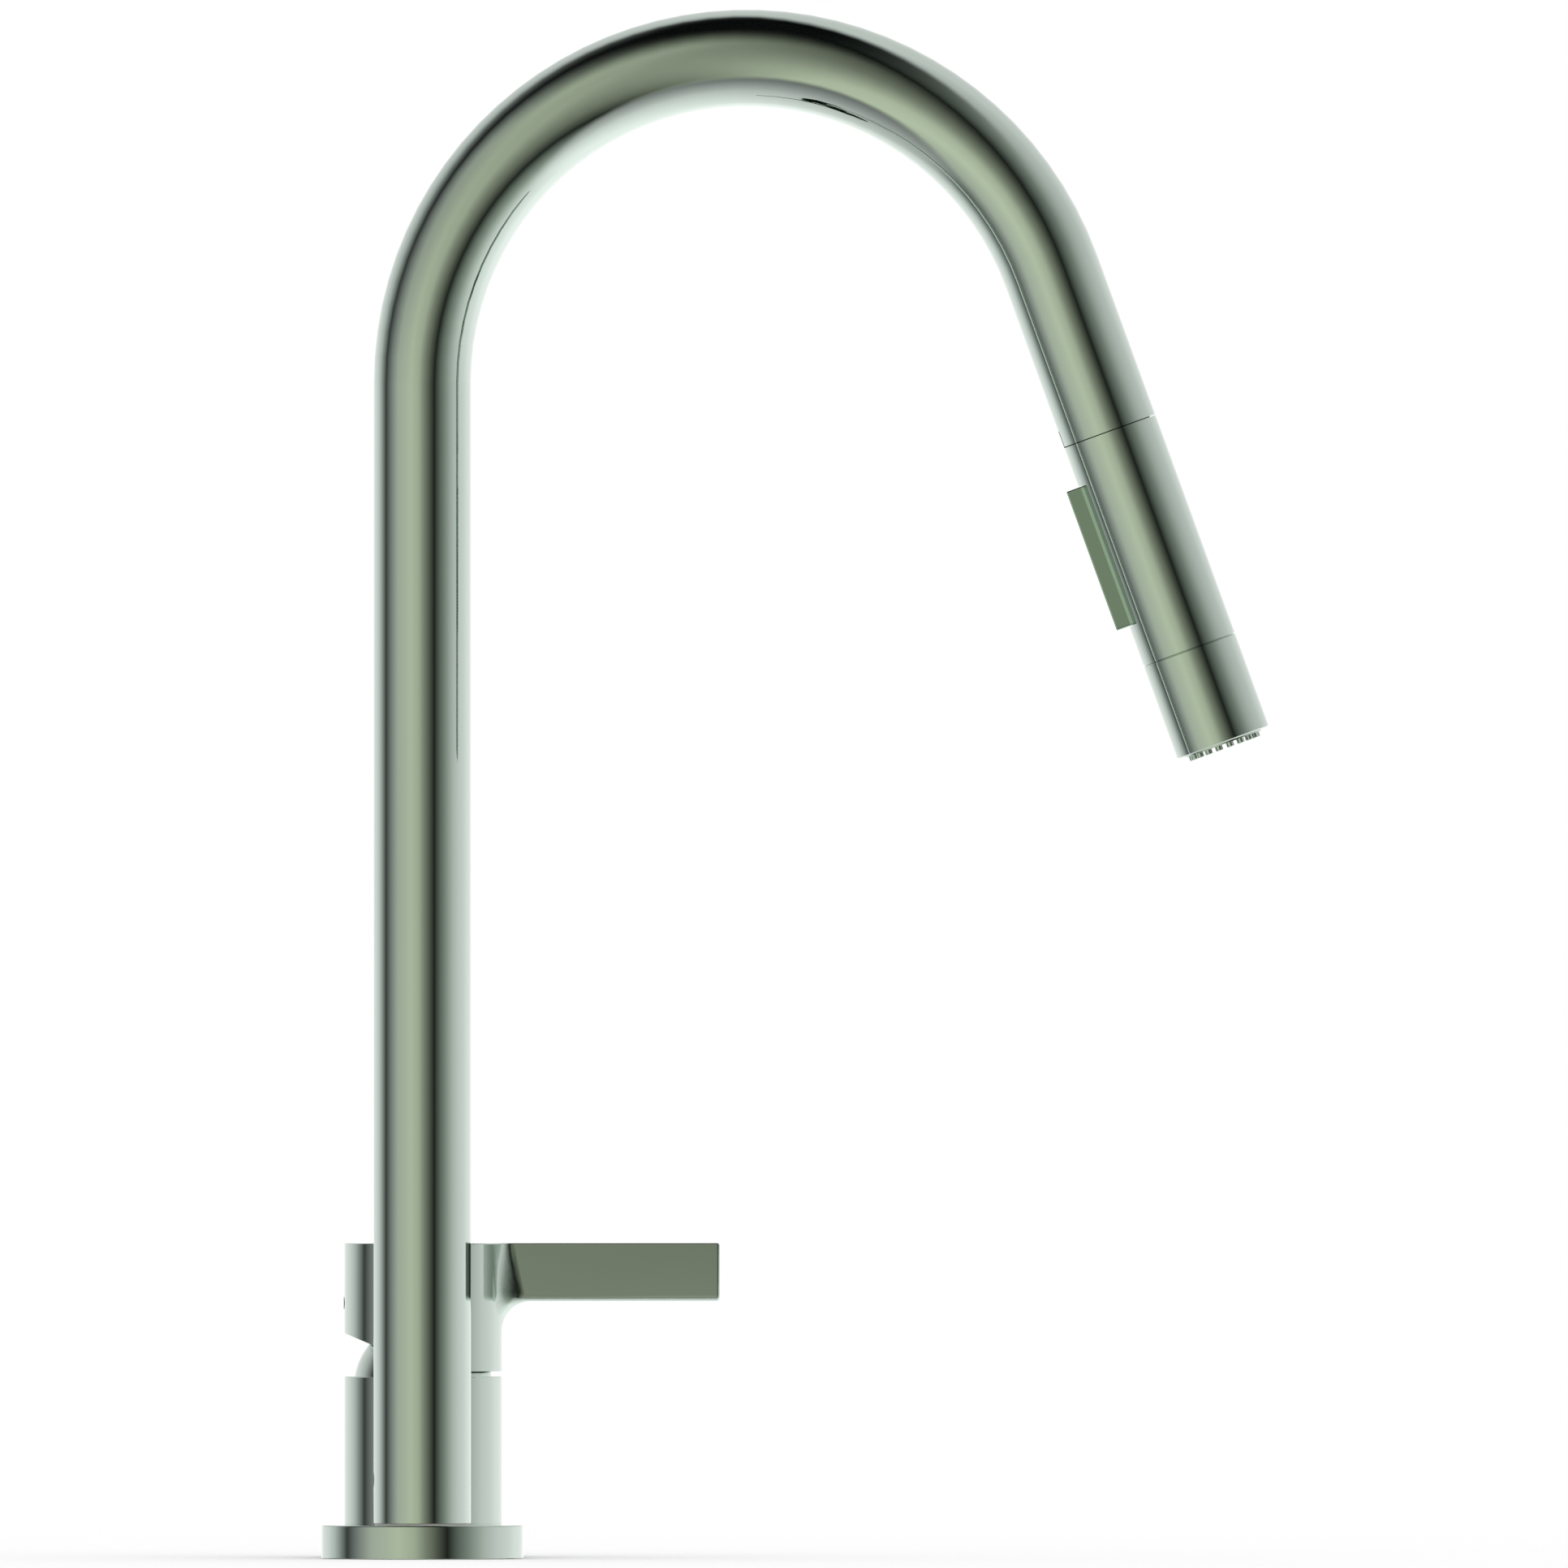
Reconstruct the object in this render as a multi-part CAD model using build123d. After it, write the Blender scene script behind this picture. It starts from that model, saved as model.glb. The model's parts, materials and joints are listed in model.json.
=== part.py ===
from build123d import *
import os
from math import cos, radians, sin, sqrt, tan

# Kitchen faucet with a pull-down spray head and a side lever valve on one deck plate.
# Millimetres, +Z up. The origin is the spout's swivel axis in the plane of the worktop.
# The spout reaches along +X. The lever valve stands beside it, along +Y.

# Deck plate and its underside
plate_width = 58.0
plate_height = 9.5
plate_edge = 0.5
valve_spacing = 50.0
gasket_inset = 2.2
gasket_width = 2.6
gasket_depth = 1.8
gasket_side_gap = 0.1
stud_hole_r = 2.5
stud_hole_depth = 7.0
stud_offset = 15.0
hose_passage_r = 6.0

# Spout tube, its arch and its tilted leg
tube_r = 14.0
tube_wall = 1.5
arch_r = 93.3
arch_height = 337.9
leg_tilt = 20.0
tube_leg = 48.65
tube_step = 0.4
dock_step = 0.2

# Swivel at the foot of the spout
washer_height = 0.5
washer_inset = 0.4
sleeve_height = 32.0
sleeve_lift = 0.2
sleeve_bore_r = 11.0
socket_r = 9.6
socket_height = 31.5
socket_spigot_r = 8.6
socket_spigot_length = 6.0
bush_height = 5.0
bush_seat_depth = 0.5
bush_low = 3.0
bush_high = 23.0
running_gap = 0.03
fit_gap = 0.05
stop_screw_height = 12.5
stop_screw_r = 2.5
stop_pin_r = 1.5
stop_pin_gap = 0.15
stop_groove_depth = 1.3
swivel_range = 75.0
o_ring_wire_r = 0.9
o_ring_height = 18.5
guide_flange = 2.0
guide_spigot = 4.0
guide_wall = 1.5

# Spray hose
hose_r = 5.5
hose_bore_r = 3.5
hose_bottom = 0.5
hose_split = 1.0
hose_lead_gap = 0.5

# Spray head, measured down the leg from the end of the arch
head_gap = 0.3
head_wall = 1.2
shell_end = 115.7
collar_end = 144.1
seam_chamfer = 0.3
dock_top = 28.0
dock_end = 43.9
key_width = 4.9
key_gap = 0.2
neck_top = 31.0
neck_r = 12.2
neck_plug_length = 9.05
neck_flange = 0.95
neck_spigot = 8.0
fitting_hex = 15.8
fitting_hex_length = 5.0
fitting_thread_r = 7.5
ferrule_r = 6.6
ferrule_length = 16.0
seal_height = 2.0
check_valve_r = 5.4
check_valve_length = 12.0
core_r = 12.2
core_end = 126.0
core_pocket_gap = 0.3
inlet_r = 4.0

# Mode button on the side of the head that faces the column
button_start = 60.97
button_length = 42.5
button_width = 11.0
button_face = 17.73
button_top = 1.6
button_wall = 0.8
button_corner = 0.7
button_gap = 0.15
button_travel = 0.8
button_flare = 0.45
button_flare_start = 13.5
button_flare_end = 12.6
button_skirt = 1.3
frame_top_gap = 1.1
frame_seat = 9.5
piston_r = 2.95
piston_stem_r = 1.6
piston_bore_end = -10.6
spring_seat = 7.0
spring_pocket_r = 4.0
spring_r = 3.25
spring_wire_r = 0.35
spring_turns = 5

# Spray face
face_lip = 1.4
face_r = 11.57
face_stand = 0.45
plate_thick = 1.5
mat_thick = 1.5
nozzle_count = 18
nozzle_circle = 9.7
nozzle_r = 1.05
nozzle_height = 1.4
nozzle_edge = 0.15
nozzle_sleeve_bore = 0.72
nozzle_bore_r = 0.4
nozzle_gap = 0.05
aerator_r = 7.4
aerator_wall = 0.9
aerator_flange_r = 8.2
aerator_flange = 1.5
screen_thick = 1.2
screen_recess = 0.8
screen_hole_r = 0.62
screen_pitch = 1.75

# Lever valve
body_r = 22.75
body_top = 51.8
body_floor = 24.0
body_bore_r = 18.0
body_rim_r = 19.87
body_rim_depth = 4.3
body_edge = 0.25
port_thread_r = 4.459
port_clear_r = 6.2
port_depth = 10.0
port_drill_r = 2.8
inlet_x = 4.5
inlet_y = 8.5
outlet_x = -8.0
screw_x = -10.0
screw_y = 13.5
screw_r = 2.5
screw_length = 18.0
screw_head_r = 4.7
screw_head_length = 2.7
dome_r = 20.1
dome_wall = 1.5
dome_opening_r = 13.0

# Ceramic cartridge
cartridge_r = 17.3
cartridge_wall = 2.3
base_thick = 3.5
seal_ring_r = 4.9
seal_ring_width = 1.3
seal_ring_height = 1.2
fixed_disc_r = 14.0
fixed_disc_thick = 3.0
moving_disc_r = 11.6
moving_disc_thick = 3.0
disc_recess_r = 10.3
disc_recess_depth = 1.5
disc_recess_back = 7.45
disc_recess_front = 3.85
carrier_r = 11.0
carrier_thick = 2.5
tongue_half = 7.7
tongue_thick = 1.8
housing_top = 2.3
housing_neck_r = 13.0
housing_neck = 3.5
driver_gap = 0.1
driver_flange_r = 14.7
driver_flange = 3.1
turret_r = 10.42
turret_height = 13.4
turret_gap = 0.08
rail_width = 2.5
rail_length = 18.0
swing_range = 45.0
stop_tab_width = 4.0
stop_tab_reach = 12.3
stop_tab_depth = 2.0
stop_tab_gap = 0.15
nut_height = 4.0
nut_slots = 4
nut_slot_width = 4.0
nut_slot_depth = 2.0
lift_range = 25.0
pin_rise = 7.3
ball_rise = 3.9
ball_r = 2.6
arm_r = 2.2
stem_block_x = 4.2
stem_block_y = 3.1
stem_side_gap = 0.1
stem_square = 9.0
stem_square_start = 9.4
stem_length = 32.6
pin_r = 1.5
pin_half_length = 9.8

# Lever handle
hood_gap = 1.5
hood_top = 90.2
hood_cavity_gap = 1.2
hood_edge = 0.3
relief_angle = 22.5
relief_start = 3.9
lever_reach = 85.5
lever_depth = 16.8
lever_half_width = 6.5
lever_draft = 5.0
lever_taper = 2.5
lever_fillet = 8.5
lever_bottom_edge = 1.8
lever_tip_edge = 0.8
grub_height = 72.9
grub_r = 1.95
grub_length = 8.0
grub_clear = 0.05
grub_hex = 2.0
plug_r = 1.9
plug_length = 2.3
plug_bulge = 0.12

# Values that follow from the sizes above
deck_top = plate_height
valve_y = valve_spacing
tube_bore_r = tube_r - tube_wall
tube_bottom = deck_top + washer_height
tilt = radians(leg_tilt)
leg = Plane(
    origin=(arch_r * (1 + cos(tilt)), 0, arch_height + arch_r * sin(tilt)),
    x_dir=(-cos(tilt), 0, -sin(tilt)),
    z_dir=(sin(tilt), 0, -cos(tilt)),
)
head_start = tube_leg + head_gap
button_middle = button_start + button_length / 2
button_skirt_end = button_flare_end - button_skirt
button_base_half = button_width / 2 + button_flare
frame_top = button_face - button_top - frame_top_gap
disc_bottom = body_floor + base_thick
disc_face = disc_bottom + fixed_disc_thick
carrier_bottom = disc_face + moving_disc_thick
tongue_bottom = carrier_bottom + carrier_thick
driver_bottom = tongue_bottom + tongue_thick + 2 * driver_gap
driver_shoulder = driver_bottom + driver_flange
housing_ceiling = driver_shoulder + driver_gap
housing_shoulder = housing_ceiling + housing_top
pivot_height = driver_shoulder + pin_rise
lift_arm = pivot_height - carrier_bottom - ball_rise
disc_travel = lift_arm * sin(radians(lift_range))
hood_bottom = body_top + hood_gap

bottom_up = (Align.CENTER, Align.CENTER, Align.MIN)


def rod(radius, low, high, x=0, y=0):
    """An upright cylinder from one height to another."""
    return Pos(x, y, low) * Cylinder(radius, high - low, align=bottom_up)


def ring(outer, inner, low, high, x=0, y=0):
    """An upright ring."""
    return rod(outer, low, high, x, y) - rod(inner, low - 1, high + 1, x, y)


def block(x0, x1, y0, y1, z0, z1):
    """A box between two corners."""
    middle = ((x0 + x1) / 2, (y0 + y1) / 2, (z0 + z1) / 2)
    return Pos(*middle) * Box(x1 - x0, y1 - y0, z1 - z0)


def turned(*points):
    """A body turned about Z from an outline of (radius, height) points."""
    outline = Plane.XZ * make_face(Polyline(*points, close=True))
    return revolve(outline, Axis.Z)


def o_ring(radius, wire, height):
    """A seal ring whose middle circle has the given radius."""
    return Pos(0, 0, height) * Torus(radius, wire)


def cross_rod(radius, start, end, height):
    """A cylinder along X at a height."""
    return Pos(start, 0, height) * Rot(0, 90, 0) * Cylinder(radius, end - start, align=bottom_up)


def slot_plan(radius):
    """The plate's plan outline: two round ends about the spout and the valve."""
    return Pos(0, valve_y / 2) * SlotCenterToCenter(valve_y, 2 * radius, rotation=90)


def bent_rod(radius, low, leg_end):
    """A round bar that follows the spout's axis from the foot to a point down the leg."""
    foot = rod(radius, low, arch_height)
    section = Pos(0, 0, arch_height) * Circle(radius)
    arch_axis = Axis((arch_r, 0, arch_height), (0, 1, 0))
    arch = revolve(section, arch_axis, 180 - leg_tilt)
    if leg_end > 0:
        return foot + arch + leg.location * rod(radius, 0, leg_end)
    return foot + arch


def at_valve(shape):
    """Move a shape modelled about its own axis to the valve's axis."""
    return Pos(0, valve_y, 0) * shape


# ---- Deck plate ----


def base_plate():
    """The deck plate with its port window, stud holes and gasket groove."""
    plate = extrude(slot_plan(plate_width / 2), plate_height)
    plate = fillet(plate.faces().sort_by(Axis.Z)[-1].edges(), plate_edge)
    plate -= gasket_loop(0)
    plate -= rod(hose_passage_r, -1, deck_top + 1)
    plate -= rod(socket_spigot_r, deck_top - socket_spigot_length, deck_top + 1)
    for y in (0, valve_y):
        plate -= rod(stud_hole_r, -1, stud_hole_depth, stud_offset, y)
    plate -= at_valve(Pos(0, 0, -1) * extrude(port_window(), plate_height + 2))
    return plate - body_screw_holes(screw_r + fit_gap * 4, 0.1)


def port_window():
    """The plan of the one opening that lets the three supply tails through to the valve body."""
    corners = make_face(Polyline(*port_places(), close=True))
    return offset(corners, port_clear_r, kind=Kind.ARC)


def gasket_loop(gap):
    """The gasket's loop, drawn in by a gap on each side of its groove."""
    outer = plate_width / 2 - gasket_inset - gap
    inner = plate_width / 2 - gasket_inset - gasket_width + gap
    return extrude(slot_plan(outer) - slot_plan(inner), gasket_depth)


def body_screw_holes(radius, extra):
    """Countersunk holes under the valve body, or the screws themselves."""
    shapes = []
    for side in (-1, 1):
        head = screw_head_r + extra
        cone = turned((0, 0), (head, 0), (radius, screw_head_length), (0, screw_head_length))
        shank = rod(radius, screw_head_length - 0.1, screw_length)
        shapes.append(at_valve(Pos(screw_x, side * screw_y, 0) * (cone + shank)))
    return Part() + shapes


def body_screws():
    """The two countersunk screws that hold the valve body on the plate."""
    screws = []
    for screw in body_screw_holes(screw_r - fit_gap, 0).solids():
        top = screw.center(CenterOf.BOUNDING_BOX)
        socket = Pos(top.X, top.Y, -0.01) * extrude(RegularPolygon(1.75, 6), 1.8)
        screws.append(screw - socket)
    return Part() + screws


# ---- Spout swivel, fixed side ----


def spout_socket():
    """The brass socket that the spout turns on, with its stop groove and bush seats."""
    low = deck_top
    top = low + socket_height
    socket = rod(socket_r, low, top) + rod(socket_spigot_r - fit_gap, low - socket_spigot_length, low + 1)
    socket -= rod(hose_passage_r, low - socket_spigot_length - 1, top + 1)
    socket -= rod(hose_passage_r + guide_wall + fit_gap, top - guide_spigot, top + 1)
    for start in (bush_low, bush_high):
        seat = low + start
        socket -= ring(socket_r + 1, socket_r - bush_seat_depth, seat, seat + bush_height)
    socket -= o_ring_seat(low + o_ring_height)
    return socket - stop_groove()


def o_ring_seat(height):
    """The square groove of the swivel's friction ring."""
    half = o_ring_wire_r + fit_gap
    return ring(socket_r + 1, swivel_ring_middle() - o_ring_wire_r - fit_gap, height - half, height + half)


def swivel_ring_middle():
    """Radius of the friction ring's middle circle, so that it clears the sleeve."""
    return sleeve_bore_r - running_gap - o_ring_wire_r


def stop_groove():
    """The arc groove that the stop screw's point runs in, open to the back."""
    middle = tube_bottom + stop_screw_height
    half = stop_pin_r + stop_pin_gap
    groove = ring(socket_r + 1, socket_r - stop_groove_depth, middle - half, middle + half)
    spread = swivel_range + sin_angle((stop_pin_r + stop_pin_gap) / (socket_r - stop_groove_depth))
    far = 3 * socket_r
    corners = [(0, 0)]
    for share in (-1, -0.5, 0.5, 1):
        angle = radians(180 + share * spread)
        corners.append((far * cos(angle), far * sin(angle)))
    fan = extrude(make_face(Polyline(*corners, close=True)), arch_height)
    return groove & fan


def sin_angle(ratio):
    """The angle in degrees whose sine is the ratio."""
    return Vector(sqrt(1 - ratio * ratio), ratio, 0).get_angle(Vector(1, 0, 0))


def slide_washer():
    """The plastic washer under the spout tube."""
    return ring(tube_r - washer_inset, socket_r + 0.4, deck_top, tube_bottom)


def swivel_bushes():
    """Two plastic slide bushes in their seats on the socket."""
    bushes = []
    for start in (bush_low, bush_high):
        low = deck_top + start
        bush = ring(sleeve_bore_r - running_gap, socket_r - bush_seat_depth, low, low + bush_height)
        bushes.append(bush)
    return Part() + bushes


def swivel_o_ring():
    """The ring that gives the spout its friction."""
    return o_ring(swivel_ring_middle(), o_ring_wire_r, deck_top + o_ring_height)


def hose_guide():
    """The flared plastic guide that keeps the hose off the socket's edge."""
    top = deck_top + socket_height
    outer = hose_passage_r + guide_wall
    guide = rod(socket_r - 0.3, top, top + guide_flange) + rod(outer, top - guide_spigot, top)
    guide -= rod(hose_passage_r, top - guide_spigot - 1, top + guide_flange + 1)
    mouth = guide.edges().filter_by(GeomType.CIRCLE).group_by(Axis.Z)[-1].sort_by(SortBy.RADIUS)[0]
    return fillet(mouth, guide_flange * 0.6)


# ---- Spout ----


def spout_tube():
    """The bent tube, thinned inside at both ends for its inserts and notched for the head's key."""
    tube = bent_rod(tube_r, tube_bottom, tube_leg) - bent_rod(tube_bore_r, tube_bottom - 1, tube_leg + 1)
    tube -= rod(tube_bore_r + tube_step, tube_bottom - 1, tube_bottom + sleeve_height)
    tube -= leg.location * rod(tube_bore_r + dock_step, dock_top, tube_leg + 1)
    tube -= stop_screw_shape(stop_screw_r)
    half = key_width / 2 + key_gap
    notch = block(tube_bore_r - 1, tube_r + 1, -half, half, dock_end - key_gap, tube_leg + 1)
    return tube - leg.location * notch


def swivel_sleeve():
    """The brass sleeve brazed into the foot of the tube."""
    low = tube_bottom + sleeve_lift
    top = tube_bottom + sleeve_height
    sleeve = ring(tube_bore_r + tube_step - 0.02, sleeve_bore_r, low, top)
    return sleeve - stop_screw_shape(stop_screw_r)


def stop_screw_shape(radius):
    """The threaded part of the stop screw, from the tube's back to inside the sleeve."""
    height = tube_bottom + stop_screw_height
    return cross_rod(radius, -tube_r - 1, -sleeve_bore_r + 1, height)


def stop_screw():
    """The screw that keeps the spout down and ends its swing against the stop groove."""
    height = tube_bottom + stop_screw_height
    thread = cross_rod(stop_screw_r - fit_gap, -tube_r + 0.3, -sleeve_bore_r - 0.1, height)
    tip = -socket_r + stop_groove_depth - stop_pin_gap
    point = cross_rod(stop_pin_r, -sleeve_bore_r - 0.2, tip, height)
    hexagon = extrude(RegularPolygon(1.4, 6), 1.6)
    socket = Pos(-tube_r + 0.29, 0, height) * Rot(0, 90, 0) * hexagon
    return thread + point - socket


def dock_sleeve():
    """The plastic funnel in the tube's mouth that the spray head docks in."""
    outer = tube_bore_r + dock_step - 0.02
    wide = neck_cone(dock_end) + 0.4
    narrow = neck_cone(dock_top) + 0.5
    return turned((outer, dock_top), (outer, dock_end), (wide, dock_end), (narrow, dock_top))


def spray_hose():
    """The hose inside the spout, from under the plate to the arch's end."""
    hose = bent_rod(hose_r, hose_bottom, hose_split)
    return hose - bent_rod(hose_bore_r, hose_bottom - 1, hose_split + 1)


# ---- Spray head, modelled down the leg with X to the column ----


def neck_cone(down):
    """Radius of the neck's taper at a distance down the leg."""
    share = (down - neck_top) / (dock_end - neck_top)
    return 9.4 + 0.8 * share


def head_neck():
    """The dark plastic neck with its docking taper and key."""
    plug = tube_r - head_wall - fit_gap
    rim = plug + 0.65
    bore = fitting_thread_r + fit_gap
    seat = thread_end() + seal_height
    low = head_start + neck_plug_length
    valve_bore = check_valve_r + 2 * fit_gap
    valve_end = seat + 4 + check_valve_length
    neck = turned(
        (bore, neck_top),
        (neck_cone(neck_top), neck_top),
        (neck_cone(dock_end), dock_end),
        (neck_r, dock_end),
        (neck_r, head_start),
        (rim, head_start),
        (rim, head_start + neck_flange),
        (plug, head_start + neck_flange),
        (plug, low),
        (core_socket_r() - fit_gap, low),
        (core_socket_r() - fit_gap, low + neck_spigot),
        (inlet_r + 0.2, low + neck_spigot),
        (inlet_r + 0.2, valve_end),
        (valve_bore, valve_end),
        (valve_bore, seat),
        (bore, seat),
    )
    key = block(neck_r - 1, tube_r, -key_width / 2, key_width / 2, dock_end, head_start)
    return neck + (key & rod(tube_r - 0.05, dock_end, head_start))


def core_socket_r():
    """Radius of the socket in the waterway that takes the neck's spigot."""
    return core_r - 3.15


def thread_end():
    """Where the hose fitting's thread ends inside the neck."""
    return neck_top + 13.0


def hose_lead():
    """The last stretch of hose, which leaves the spout with the spray head."""
    low = hose_split + hose_lead_gap
    return ring(hose_r, hose_bore_r, low, neck_top - fitting_hex_length)


def hose_ferrule():
    """The crimped sleeve on the hose's end."""
    end = neck_top - fitting_hex_length
    return ring(ferrule_r, hose_r + 0.02, end - ferrule_length, end)


def hose_fitting():
    """The brass fitting: barb, hexagon and thread in one piece."""
    hex_start = neck_top - fitting_hex_length
    hexagon = extrude(RegularPolygon(fitting_hex / 2, 6, major_radius=False), fitting_hex_length)
    fitting = Pos(0, 0, hex_start) * hexagon
    fitting += rod(fitting_thread_r, neck_top - 0.5, thread_end())
    fitting += rod(hose_bore_r - fit_gap, hex_start - ferrule_length, hex_start + 0.5)
    return fitting - rod(hose_bore_r - 0.9, hex_start - ferrule_length - 1, thread_end() + 1)


def hose_seal():
    """The flat seal at the end of the hose fitting."""
    return ring(fitting_thread_r - 0.1, inlet_r, thread_end(), thread_end() + seal_height)


def check_valve():
    """The non-return valve cartridge in the neck."""
    start = thread_end() + seal_height + 4
    end = start + check_valve_length
    body = ring(check_valve_r, check_valve_r - 1.2, start, end)
    spider = block(-check_valve_r + 0.6, check_valve_r - 0.6, -0.5, 0.5, end - 3, end)
    cross = block(-0.5, 0.5, -check_valve_r + 0.6, check_valve_r - 0.6, end - 3, end)
    poppet = turned((0, start + 2), (3.0, start + 4), (3.0, start + 5), (1.0, start + 6), (1.0, end), (0, end))
    return body + spider + cross + poppet


def head_shell():
    """The metal skin of the spray head, with the window that the button moves in."""
    inner = tube_r - head_wall
    flange_r = inner + 0.6 + fit_gap
    shell = turned(
        (flange_r, head_start),
        (tube_r, head_start),
        (tube_r, shell_end - seam_chamfer),
        (tube_r - seam_chamfer, shell_end),
        (inner, shell_end),
        (inner, head_start + neck_flange),
        (flange_r, head_start + neck_flange),
    )
    window = offset(button_plan(button_base_half, 0), button_gap)
    return shell - extrude(window, tube_r + 1)


def frame_block(extra, low, high):
    """The outline of the button's frame, widened by a gap, between two distances from the axis."""
    half_width = button_width / 2 - button_wall - button_gap + extra
    start = button_start + button_wall + button_gap - extra
    end = button_start + button_length - button_wall - button_gap + extra
    return block(low, high, -half_width, half_width, start, end)


def button_frame():
    """The fixed guide inside the button."""
    frame = frame_block(0, frame_seat, frame_top)
    frame = fillet(frame.edges().filter_by(Axis.X), button_corner / 2)
    return frame - cross_rod(spring_pocket_r, frame_seat - 1, frame_top + 1, button_middle)


def waterway_core():
    """The moulded core that carries water from the neck past the diverter to both outlets."""
    start = head_start + neck_plug_length
    socket_end = start + neck_spigot
    core = rod(core_r, start, core_end) - rod(core_socket_r(), start - 1, socket_end)
    core -= rod(inlet_r, socket_end - 1, button_middle)
    core -= frame_block(core_pocket_gap, frame_seat, core_r + 1)
    core -= skirt_pocket()
    core -= cross_rod(spring_pocket_r, spring_seat, core_r + 1, button_middle)
    core -= cross_rod(piston_r + fit_gap, piston_bore_end, spring_seat + 1, button_middle)
    core -= rod(2.2, button_middle, core_end - 6, -3.5)
    core -= rod(aerator_r - aerator_wall, core_end - 7, core_end + 1)
    core -= rod(1.6, button_middle, core_end + 1, -core_r + 2.8)
    groove = ring(core_r + 1, core_r - 1.5, core_end - 4, core_end - 2)
    return core - groove


def skirt_pocket():
    """The room in the waterway that the button's skirt moves down into."""
    half = button_base_half + core_pocket_gap
    start = button_start - core_pocket_gap
    end = button_start + button_length + core_pocket_gap
    floor = button_skirt_end - button_travel - core_pocket_gap
    return block(floor, core_r + 1, -half, half, start, end)


def core_o_ring():
    """The seal between the waterway and the nozzle collar."""
    return o_ring(core_r - 0.75, 0.75, core_end - 3)


def piston_spans():
    """Start and end of the diverter's two lands, from the head's axis toward the button."""
    return ((2.6, spring_seat - 0.5), (-7.9, -5.2))


def diverter_piston():
    """The diverter's spool on its stem, moved by the button."""
    piston = cross_rod(piston_stem_r, spring_seat - 1, button_face - button_top, button_middle)
    piston += cross_rod(1.3, -6, 4, button_middle)
    for start, end in piston_spans():
        land = cross_rod(piston_r, start, end, button_middle)
        middle = (start + end) / 2
        groove = cross_rod(piston_r + 1, middle - 0.55, middle + 0.55, button_middle)
        groove -= cross_rod(piston_r - 0.95, middle - 1, middle + 1, button_middle)
        piston += land - groove
    return piston


def diverter_o_rings():
    """The seals on the diverter's lands."""
    rings = []
    for start, end in piston_spans():
        place = Pos((start + end) / 2, 0, button_middle) * Rot(0, 90, 0)
        rings.append(place * Torus(piston_r - 0.45, 0.47))
    return Part() + rings


def mode_button():
    """The long push button, flared toward the head along both sides, with its skirt inside the shell."""
    skirt = extrude(button_plan(button_base_half, button_skirt_end), button_skirt)
    base = button_plan(button_base_half, button_flare_end)
    flare = loft([base, button_plan(button_width / 2, button_flare_start)], ruled=True)
    cap = extrude(button_plan(button_width / 2, button_flare_start), button_face - button_flare_start)
    button = skirt + flare + cap
    button = fillet(button.faces().sort_by(Axis.X)[-1].edges(), button_corner / 2)
    return button - frame_block(button_gap, 0, button_face - button_top)


def button_plan(half, height):
    """The button's round-cornered plan with a given half width, at a distance from the head's axis."""
    plane = Plane(origin=(height, 0, button_middle), x_dir=(0, 1, 0), z_dir=(1, 0, 0))
    return plane * RectangleRounded(2 * half, button_length, button_corner)


def button_spring():
    """The coil that returns the button, standing on its seat in the waterway."""
    height = button_face - button_top - spring_seat - 2 * spring_wire_r - 0.04
    coil = Helix(height / spring_turns, height, spring_r)
    section = Plane(origin=coil @ 0, z_dir=coil % 0) * Circle(spring_wire_r)
    place = Pos(spring_seat + spring_wire_r + 0.02, 0, button_middle) * Rot(0, 90, 0)
    return place * sweep(section, coil, is_frenet=True)


def nozzle_collar():
    """The ring that screws on below the seam and holds the spray face."""
    inner = core_r + fit_gap
    lip = collar_end - face_lip
    return turned(
        (inner, shell_end),
        (tube_r - seam_chamfer, shell_end),
        (tube_r, shell_end + seam_chamfer),
        (tube_r, collar_end - seam_chamfer),
        (tube_r - seam_chamfer, collar_end),
        (face_r + fit_gap, collar_end),
        (face_r + fit_gap, lip),
        (inner, lip),
    )


def nozzle_places():
    """The nozzles' places round the spray face."""
    return PolarLocations(nozzle_circle, nozzle_count)


def spray_plate():
    """The metal face ring with its short round nozzles."""
    lip = collar_end - face_lip
    tip = nozzle_tip()
    plate = ring(core_r, aerator_r + fit_gap, lip - plate_thick, lip)
    plate += ring(face_r, aerator_r + fit_gap, lip - 0.1, collar_end + face_stand)
    nozzle = turned((0, lip), (nozzle_r, lip), (nozzle_r, tip - nozzle_edge), (nozzle_r - nozzle_edge, tip), (0, tip))
    nozzles = []
    bores = []
    for place in nozzle_places():
        nozzles.append(place * nozzle)
        bores.append(place * rod(nozzle_sleeve_bore, lip - plate_thick - 1, tip + 1))
    return (plate + nozzles) - bores


def nozzle_tip():
    """How far down the head the nozzles reach."""
    return collar_end + face_stand + nozzle_height


def nozzle_mat():
    """The silicone mat whose soft tubes line the nozzles."""
    top = collar_end - face_lip - plate_thick
    mat = ring(core_r, aerator_r + fit_gap, top - mat_thick, top)
    for place in nozzle_places():
        mat += place * rod(nozzle_sleeve_bore - nozzle_gap, top - mat_thick / 2, nozzle_tip() - nozzle_edge)
    for place in nozzle_places():
        mat -= place * rod(nozzle_bore_r, top - mat_thick - 1, nozzle_tip() + 1)
    return mat


def aerator_housing():
    """The centre outlet's barrel, clamped under the waterway."""
    inner = aerator_r - aerator_wall
    end = collar_end + face_stand - 0.2
    return turned(
        (inner, core_end),
        (aerator_flange_r, core_end),
        (aerator_flange_r, core_end + aerator_flange),
        (aerator_r, core_end + aerator_flange),
        (aerator_r, end),
        (inner - 0.6, end),
        (inner - 0.6, end - screen_recess),
        (inner, end - screen_recess),
    )


def screen_bottom():
    """Where the screen stands on the barrel's inner lip."""
    return collar_end + face_stand - 0.2 - screen_recess


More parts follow.
